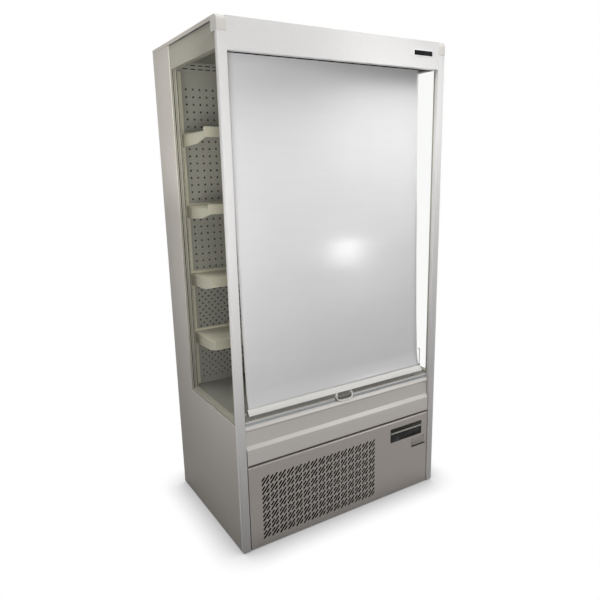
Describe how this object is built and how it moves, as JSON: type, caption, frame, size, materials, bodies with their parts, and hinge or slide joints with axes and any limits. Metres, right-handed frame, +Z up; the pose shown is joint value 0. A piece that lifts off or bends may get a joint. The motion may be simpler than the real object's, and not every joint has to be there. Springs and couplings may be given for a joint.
{
  "type": "open multideck display fridge",
  "caption": "Tall narrow open-front chilled display cabinet with glazed ends, stepped shelves, a pull-down night blind and a slotted service panel.",
  "frame": {"origin": "middle of the footprint on the floor", "axes": "+Z up, front faces -Y, +X to the right seen from the front"},
  "size_m": [1, 0.645, 1.95],
  "materials": {
    "painted_white": "smooth light grey-white powder coat, half gloss",
    "painted_grey": "warm light grey powder coat, satin",
    "satin_stainless": "satin stainless steel sheet, fine level grain",
    "cap_plastic": "moulded light grey plastic, fine texture",
    "pane_glass": "clear float glass with a slight green tone",
    "glazing_trim": "pale olive-grey spacer and band",
    "liner_paint": "grey coated liner sheet, satin",
    "shelf_paint": "cream powder coat",
    "blind_cloth": "woven metallised blind cloth, fine level weave",
    "blind_white": "white coated bar and bail",
    "hook_wire": "thin dull steel wire",
    "lamp_diffuser": "opal diffuser",
    "control_black": "black controller housing with a smooth face",
    "key_rubber": "soft dark keys",
    "galvanised_steel": "zinc coated steel sheet",
    "coil_aluminium": "finned coil block",
    "fan_plastic": "black moulded plastic",
    "compressor_enamel": "black enamelled steel can",
    "foot_rubber": "dark levelling foot"
  },
  "bodies": {
    "cabinet": {"left_front_upright": "painted_white", "right_front_upright": "painted_white", "canopy_header": "painted_white", "insulated_well": "painted_grey", "insulated_back": "painted_grey", "roof_panel": "painted_grey", "left_side_panel": "painted_grey", "right_side_panel": "painted_grey", "front_riser": "satin_stainless", "left_end_cap": "cap_plastic", "right_end_cap": "cap_plastic", "left_outer_pane": "pane_glass", "left_inner_pane": "pane_glass", "right_outer_pane": "pane_glass", "right_inner_pane": "pane_glass", "left_glazing_frame": "glazing_trim", "right_glazing_frame": "glazing_trim", "canopy_ceiling": "liner_paint", "back_duct_panel": "liner_paint", "deck_pan": "liner_paint", "return_air_grille": "liner_paint", "shelf_standard_left": "shelf_paint", "shelf_standard_right": "shelf_paint", "shelf_1_tray": "shelf_paint", "shelf_1_bracket_left": "shelf_paint", "shelf_1_bracket_right": "shelf_paint", "shelf_2_tray": "shelf_paint", "shelf_2_bracket_left": "shelf_paint", "shelf_2_bracket_right": "shelf_paint", "shelf_3_tray": "shelf_paint", "shelf_3_bracket_left": "shelf_paint", "shelf_3_bracket_right": "shelf_paint", "shelf_4_tray": "shelf_paint", "shelf_4_bracket_left": "shelf_paint", "shelf_4_bracket_right": "shelf_paint", "canopy_lamp": "lamp_diffuser", "base_frame": "galvanised_steel", "rear_machine_cover": "galvanised_steel", "blind_bracket_left": "galvanised_steel", "blind_bracket_right": "galvanised_steel", "condenser": "coil_aluminium", "evaporator": "coil_aluminium", "drip_tray": "fan_plastic", "compressor": "compressor_enamel", "foot_front_left": "foot_rubber", "foot_front_right": "foot_rubber", "foot_rear_left": "foot_rubber", "foot_rear_right": "foot_rubber"},
    "blind": {"blind_bottom_bar": "blind_white", "blind_stay_hook": "hook_wire", "blind_fabric": "blind_cloth"},
    "blind_handle": {"blind_handle": "blind_white"},
    "blind_roller": {"blind_roller": "blind_cloth"},
    "service_panel": {"service_panel": "satin_stainless", "control_unit": "control_black"},
    "control_key_1": {"control_key_1": "key_rubber"},
    "control_key_2": {"control_key_2": "key_rubber"},
    "control_key_3": {"control_key_3": "key_rubber"},
    "condenser_fan": {"condenser_fan": "fan_plastic"},
    "evaporator_fan": {"evaporator_fan": "fan_plastic"}
  },
  "joints": [
    {"name": "blind_travel", "type": "slide", "parent": "cabinet", "child": "blind", "axis": [0, 0.042, 0.9991], "range_m": [0, 1.24], "deforming": ["blind_fabric"]},
    {"name": "roller_spin", "type": "hinge", "parent": "cabinet", "child": "blind_roller", "pos_m": [0, -0.265, 1.893], "axis": [1, 0, 0], "range_deg": [0, 3160]},
    {"name": "handle_swing", "type": "hinge", "parent": "blind", "child": "blind_handle", "pos_m": [0, -0.302, 0.553], "axis": [-1, 0, 0], "range_deg": [0, 100]},
    {"name": "service_panel_pull", "type": "slide", "parent": "cabinet", "child": "service_panel", "axis": [0, -1, 0], "range_m": [0, 0.25]},
    {"name": "key_1_press", "type": "slide", "parent": "service_panel", "child": "control_key_1", "axis": [0, 1, 0], "range_m": [0, 0.0008], "stiffness_N_per_m": 400},
    {"name": "key_2_press", "type": "slide", "parent": "service_panel", "child": "control_key_2", "axis": [0, 1, 0], "range_m": [0, 0.0008], "stiffness_N_per_m": 400},
    {"name": "key_3_press", "type": "slide", "parent": "service_panel", "child": "control_key_3", "axis": [0, 1, 0], "range_m": [0, 0.0008], "stiffness_N_per_m": 400},
    {"name": "condenser_fan_spin", "type": "hinge", "parent": "cabinet", "child": "condenser_fan", "pos_m": [-0.14, -0.1985, 0.1743], "axis": [0, 1, 0], "continuous": true},
    {"name": "evaporator_fan_spin", "type": "hinge", "parent": "cabinet", "child": "evaporator_fan", "pos_m": [0, -0.0385, 0.4553], "axis": [0, 1, 0], "continuous": true}
  ],
  "couplings": [
    {"joint": "roller_spin", "follows": "blind_travel", "rad_per_m": 44.444}
  ]
}
